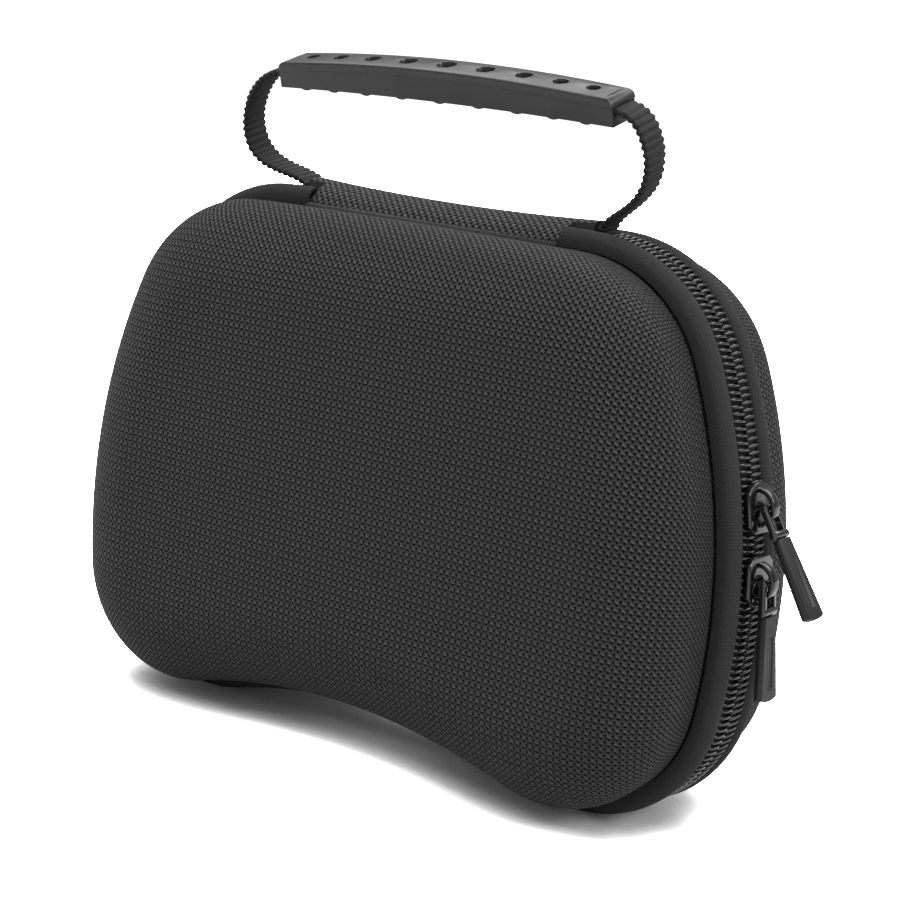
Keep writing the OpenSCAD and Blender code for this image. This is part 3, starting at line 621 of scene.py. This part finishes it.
def spine():
    """Its crest dips in the middle; past the start of the rims only a tongue goes on."""
    half, sag = CREASE_Y - CLEAR, CREST_Z - (CASE_H - CREASE_D)
    hump = (half * half + sag * sag) / (2 * sag)
    # The cloth reaches both shells, where it is sewn on
    half += CLEAR - SPINE_GAP
    dip = SPINE_X ** 2 / (2 * SPINE_DIP)
    end = math.asin(SPINE_X / dip)
    step = math.asin((RIM_X - CLEAR) / dip)
    turns = np.concatenate([np.linspace(-end, -step - TONGUE_STEP, TONGUE_COLS),
                            np.linspace(-step, step, SPINE_COLS),
                            np.linspace(step + TONGUE_STEP, end, TONGUE_COLS)])
    reach = np.where(np.abs(turns) > step, WEB_W / 2, half)
    n = len(turns)
    share = ([(t, 0.0) for t in np.linspace(-1, 1, SPINE_ROWS)]
             + [(t, SPINE_T) for t in np.linspace(1, -1, SPINE_INNER_ROWS)])
    points, uvs = [], []
    for t, deep in share:
        y = np.clip(t * half, -reach, reach)
        drop = hump - np.sqrt(np.maximum((hump - deep) ** 2 - y * y, 0))
        r = dip + drop
        x = r * np.sin(turns)
        x = np.where(np.abs(turns) > step, x, np.clip(x, CLEAR - RIM_X, RIM_X - CLEAR))
        points.append(np.stack([x, y, CREST_Z + dip - r * np.cos(turns)], 1))
        uvs.append(np.stack([turns * dip, hump * np.arcsin(y / hump)], 1))
    rows = len(share)
    faces = grid_faces(rows, n, False, True)
    row_slots = [CLOTH] * (SPINE_ROWS - 1) + [LINING] * (rows - SPINE_ROWS + 1)
    face_slots = np.repeat(row_slots, n - 1).tolist()
    faces += side_caps(rows, n)
    face_slots += [CLOTH, CLOTH]
    obj = make_object("spine_cloth", np.concatenate(points), faces, np.concatenate(uvs),
                      [spine_cloth, lining], face_slots)
    sharpen(obj, 60)
    return obj


def hinge_bead(name, side):
    """Sewn fold round the hinge line: it fills the wedge between shell and spine, also opened."""
    reach = RIM_X - CLEAR - BEAD_END
    ends = (-reach, reach)
    z = CASE_H - CREASE_D - BEAD_DROP
    points = [(x, side * CREASE_Y + BEAD_R * math.cos(a), z + BEAD_R * math.sin(a))
              for a in np.linspace(0, 2 * math.pi, BEAD_SIDES, endpoint=False) for x in ends]
    uvs = [(x, a * BEAD_R) for a in np.linspace(0, BEAD_WRAP, BEAD_SIDES) for x in ends]
    faces = grid_faces(BEAD_SIDES, 2, False, True) + side_caps(BEAD_SIDES, 2)
    return make_object(name, np.array(points), faces, np.array(uvs), [binding_cloth])


fit_piece(spine(), "spine", "hinge_spine")
for bead_name, bead_side in (("back_bead", 1), ("front_bead", -1)):
    bead_piece = hinge_bead(bead_name, bead_side)
    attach(bead_piece, "spine")


# Webbing of the handle

# All in the handle's own upright frame: x from the middle plane, height over the pivot. The
# centre lines are those of part.scad.
PIVOT_Z = CREST_Z - 0.9
ROOT_H = -2.0
ROOT_TWIST = math.radians(LEAN / 2)
BAR_BEND = (GRIP_L / 2) ** 2 / (2 * BAR_RISE)
BAR_C = np.array([GRIP_SHIFT, GRIP_Z + FLAP_H + BAR_RISE - BAR_BEND])
WEB_LINE_R = BAR_BEND - WEB_T / 2 - 2 * SEAT
WEB_ANGLE = math.asin((GRIP_L / 2 + 0.6) / BAR_BEND)
# Ribs: their pitch, their depth in thickness and width, and the flat share inside the grip
RIB_PITCH, RIB_DEPTH, RIB_WAIST, RIB_INSIDE, RIB_POWER = 1.7, 0.25, 0.28, 0.3, 1.5
# The ribs begin this far outside the grip
RIB_START = 0.5
WEB_ROUND = 0.45
# Height over which the twist of the root fades
TWIST_H = 10
WEB_STEP, LEG_POINTS, INSIDE_POINTS, GRIP_POINTS = 0.15, 400, 38, 60


def cubic(p, t):
    t = t[:, None]
    return ((1 - t) ** 3 * p[0] + 3 * t * (1 - t) ** 2 * p[1] + 3 * t * t * (1 - t) * p[2]
            + t ** 3 * p[3])


def leg(side):
    """Centre line of a webbing leg, from its root over its bulge to the grip, x outwards."""
    bulge = np.array([WEB_BULGE - side * WEB_SKEW, WEB_BULGE_H + 1.2 * side * WEB_SKEW])
    top = (BAR_C * np.array([side, 1.0])
           + WEB_LINE_R * np.array([math.sin(WEB_ANGLE), math.cos(WEB_ANGLE)]))
    lower = [np.array([WEB_X, ROOT_H + 1]), np.array([WEB_X, 5.0]), bulge - [0, 12.4], bulge]
    upper = [bulge, np.array([bulge[0], bulge[1] + 0.45 * (top[1] - bulge[1])]),
             np.array([top[0] + 0.45 * (bulge[0] - top[0]) + 1.5, top[1] - 0.3]), top]
    fine = np.linspace(0, 1, LEG_POINTS)
    root = np.array([[WEB_X, ROOT_H - WEB_W / 2], [WEB_X, ROOT_H]])
    return np.concatenate([root, cubic(lower, fine), cubic(upper, fine)[1:]])


def webbing():
    right, left = leg(1), leg(-1) * np.array([-1.0, 1.0])
    angles = np.linspace(WEB_ANGLE, -WEB_ANGLE, INSIDE_POINTS + 2)[1:-1]
    inside = BAR_C + WEB_LINE_R * np.stack([np.sin(angles), np.cos(angles)], 1)
    line = np.concatenate([right, inside, left[::-1]])
    length = np.concatenate([[0], np.cumsum(np.linalg.norm(np.diff(line, axis=0), axis=1))])
    leg_a, leg_b = length[len(right) - 1], length[len(right) + INSIDE_POINTS]
    total = length[-1]
    s = np.concatenate([np.arange(0, leg_a, WEB_STEP), np.linspace(leg_a, leg_b, GRIP_POINTS)[:-1],
                        np.arange(leg_b, total, WEB_STEP), [total]])
    x, z = np.interp(s, length, line[:, 0]), np.interp(s, length, line[:, 1])
    dx, dz = np.gradient(x, s), np.gradient(z, s)
    norm = np.hypot(dx, dz)
    nx, nz = dz / norm, -dx / norm
    on_leg = (s < leg_a - RIB_START) | (s > leg_b + RIB_START)
    wave = 0.5 - 0.5 * np.cos(2 * math.pi * s / RIB_PITCH)
    low = np.where(on_leg, wave, RIB_INSIDE) ** RIB_POWER
    thick = WEB_T / 2 - RIB_DEPTH * low
    wide = WEB_W / 2 - RIB_WAIST * low
    # The root ends are half round
    drop = np.minimum(s, total - s)
    r = WEB_W / 2
    wide = np.where(drop < r, wide * np.sqrt(np.clip(1 - (1 - drop / r) ** 2, 0.02, 1)), wide)
    # The width turns back by half the lean towards the root
    u = np.clip(z / TWIST_H, 0, 1)
    twist = ROOT_TWIST * (1 - u * u * (3 - 2 * u))
    root_y = np.where(z < ROOT_H, (z - ROOT_H) * math.sin(ROOT_TWIST), 0.0)
    # Corners of the section: side in width, side in thickness, and a point of the round edge
    corners = []
    for cy, ct, a0 in ((1, 1, 0), (-1, 1, 90), (-1, -1, 180), (1, -1, 270)):
        for a in (0, 45, 90):
            t = math.radians(a0 + a)
            corners.append((cy, ct, math.cos(t) * WEB_ROUND, math.sin(t) * WEB_ROUND))
    cos_l, sin_l = math.cos(math.radians(LEAN)), math.sin(math.radians(LEAN))
    points, uvs = [], []
    for k in range(len(s)):
        ct, st = math.cos(twist[k]), math.sin(twist[k])
        for cy, side, ey, et in corners:
            w = cy * max(0.0, wide[k] - WEB_ROUND) + ey
            t = side * (thick[k] - WEB_ROUND) + et
            px = x[k] + nx[k] * t
            py = root_y[k] + w * ct
            pz = z[k] + nz[k] * t - w * st
            points.append((px, py * cos_l - pz * sin_l, PIVOT_Z + py * sin_l + pz * cos_l))
            uvs.append((s[k], w))
    cols = len(corners)
    faces = [f[::-1] for f in grid_faces(len(s), cols, True)]
    faces.append(tuple(range(cols)))
    faces.append(tuple((len(s) - 1) * cols + j for j in range(cols - 1, -1, -1)))
    return make_object("webbing", np.array(points), faces, np.array(uvs), [web_cloth])


fit_piece(webbing(), "handle", "handle_webbing")


# Pieces that keep their CAD mesh: hard ones with rounded edges, and the soft ones of the inside

# In metres
WELD_REACH = 1e-6


def dress(node, material, width=0.0, angle=30, sharp=0):
    """width rounds the edges steeper than angle; sharp is the angle that stays a crease."""
    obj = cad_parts[node]
    obj.data.materials.clear()
    obj.data.materials.append(material)
    obj.data.shade_smooth()
    if sharp:
        sharpen(obj, sharp)
    weld = obj.modifiers.new("weld", "WELD")
    weld.merge_threshold = WELD_REACH
    if width:
        bevel = obj.modifiers.new("edges", "BEVEL")
        bevel.width = width * MM
        bevel.segments = 3
        bevel.limit_method = "ANGLE"
        bevel.angle_limit = math.radians(angle)
    return obj


for which in ("upper", "lower"):
    dress(which + "_slider", slider_paint, 0.25)
    dress(which + "_pull_stirrup", slider_paint, 0.2)
    dress(which + "_pull_tab", pull_satin, 0.25)
dress("handle_grip", grip_rubber, 0.3, 25)
net_piece = dress("mesh_pocket", pocket_net, sharp=30)
hem_piece = dress("pocket_hem", elastic)
dress("retaining_strap", elastic)


# Floor, light and camera

# The floor as the camera sees it, brighter than white, and as it lights the case
PAPER_SEEN, PAPER = (6.0, 6.0, 6.0), (0.6, 0.6, 0.6)
FLOOR_REACH, FLOOR_DROP = 4000.0, 0.05


def make_floor():
    mat, tree, shader = new_material("paper", PAPER, 0.85)
    # The camera sees it overexposed, with a painted contact shadow from ambient occlusion only
    # where the case stands close over it
    seen = tree.nodes.new("ShaderNodeLightPath").outputs["Is Camera Ray"]
    clear = calc(tree, "POWER", spread(tree, openness(tree, 14.0), 0.35, 0.95, 0.1, 1.0), 1.6)
    bright = calc(tree, "MULTIPLY", seen, clear)
    colour = mix_colour(tree, bright, PAPER, PAPER_SEEN)
    tree.links.new(colour, shader.inputs["Base Color"])
    shader.inputs["Specular IOR Level"].default_value = 0.0
    corners = [(x * FLOOR_REACH, y * FLOOR_REACH, -FLOOR_DROP)
               for x, y in ((-1, -1), (1, -1), (1, 1), (-1, 1))]
    floor = make_object("floor", corners, [(0, 1, 2, 3)], None, [mat])


def soft_sun(name, azimuth, height, spread_deg, power):
    """A broad soft light from far away; azimuth 0 is the front, 90 the case's right."""
    data = bpy.data.lights.new(name, "SUN")
    data.energy = power
    data.angle = math.radians(spread_deg)
    obj = bpy.data.objects.new(name, data)
    bpy.context.scene.collection.objects.link(obj)
    a, h = math.radians(azimuth), math.radians(height)
    place = Vector((math.sin(a) * math.cos(h), -math.cos(a) * math.cos(h), math.sin(h)))
    obj.rotation_mode = "QUATERNION"
    obj.rotation_quaternion = (-place).to_track_quat("-Z", "Y")


make_floor()
soft_sun("overhead", 0, 75, 70, 1.6)
soft_sun("left_top", -60, 50, 40, 0.4)
soft_sun("key", 100, 35, 20, 1.2)

world = bpy.data.worlds.new("studio")
world.use_nodes = True
sky = world.node_tree
background = sky.nodes["Background"]
ray = sky.nodes.new("ShaderNodeLightPath")
background.inputs[0].default_value = (1, 1, 1, 1)
direction = sky.nodes.new("ShaderNodeSeparateXYZ")
sky.links.new(sky.nodes.new("ShaderNodeTexCoord").outputs["Generated"], direction.inputs[0])
# The world's light is even, but a gloss sees a dim room with one bright band high up all round
band = calc(sky, "MULTIPLY", spread(sky, direction.outputs[2], 0.55, 0.6, 0.0, 1.0),
            spread(sky, direction.outputs[2], 0.8, 0.85, 1.0, 0.0))
room = spread(sky, band, 0.0, 1.0, 0.25, 2.6)
even = spread(sky, ray.outputs["Is Camera Ray"], 0.0, 1.0, 0.7, 1.2)
glossy = ray.outputs["Is Glossy Ray"]
strength = calc(sky, "ADD", calc(sky, "MULTIPLY", glossy, room),
                calc(sky, "MULTIPLY", calc(sky, "SUBTRACT", 1.0, glossy), even))
sky.links.new(strength, background.inputs[1])
bpy.context.scene.world = world
bpy.context.scene.view_settings.view_transform = "Standard"

# Camera: azimuth, elevation, roll, aim point, distance and focal length in pixels of the frame,
# all from the fit of the photo's outline in the case's own upright frame
FRAME_PX, SENSOR = 900.0, 36.0
AZ, EL, ROLL = math.radians(35.147), math.radians(10.405), math.radians(-6.124)
AIM = Vector((6.106 - MID_X, 0, 71.921)) * MM
DISTANCE, FOCAL = 0.496084, 2102.395
back = Vector((math.sin(AZ) * math.cos(EL), -math.cos(AZ) * math.cos(EL), math.sin(EL)))
right = Vector((math.cos(AZ), math.sin(AZ), 0))
up = back.cross(right)
right_r = math.cos(ROLL) * right - math.sin(ROLL) * up
up_r = math.sin(ROLL) * right + math.cos(ROLL) * up
turn = Matrix((right_r, up_r, back)).transposed()
camera_data = bpy.data.cameras.new("camera")
camera_data.sensor_width = SENSOR
camera_data.lens = FOCAL * SENSOR / FRAME_PX
camera_data.clip_start = 0.01
camera_data.clip_end = 50
camera = bpy.data.objects.new("camera", camera_data)
bpy.context.scene.collection.objects.link(camera)
camera.matrix_world = Matrix.Translation(AIM + back * DISTANCE) @ turn.to_4x4()
bpy.context.scene.camera = camera
